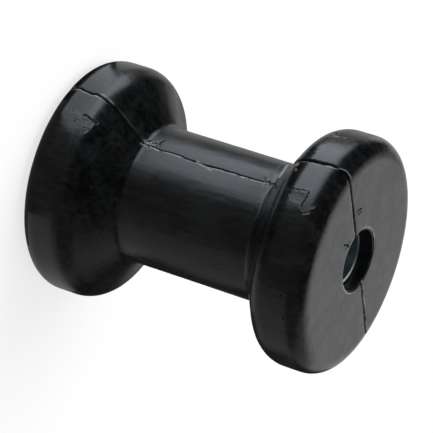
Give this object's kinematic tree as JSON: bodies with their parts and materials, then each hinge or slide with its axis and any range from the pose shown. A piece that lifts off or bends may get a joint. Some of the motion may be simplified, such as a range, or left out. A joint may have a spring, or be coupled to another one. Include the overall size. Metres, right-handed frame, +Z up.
{
  "type": "boat trailer roller",
  "caption": "Black rubber keel roller shaped as a spool, with rounded flanges, conical flanks, a straight waist and a steel-lined shaft bore.",
  "frame": {"origin": "centre of the lower end face, on the axis of the bore", "axes": "+Z up along the roller's axis, which stands on its lower end face; the mould parts in the XZ plane, so the parting line runs down the +X and -X sides; +Y completes the frame"},
  "size_m": [0.0772, 0.0772, 0.1016],
  "materials": {
    "moulded_rubber": "satin black, moulded, with the mould's parting line",
    "plated_steel": "zinc plated, satin, slightly blue"
  },
  "bodies": {
    "root": {"roller_body": "moulded_rubber", "liner_tube": "plated_steel"}
  },
  "joints": []
}
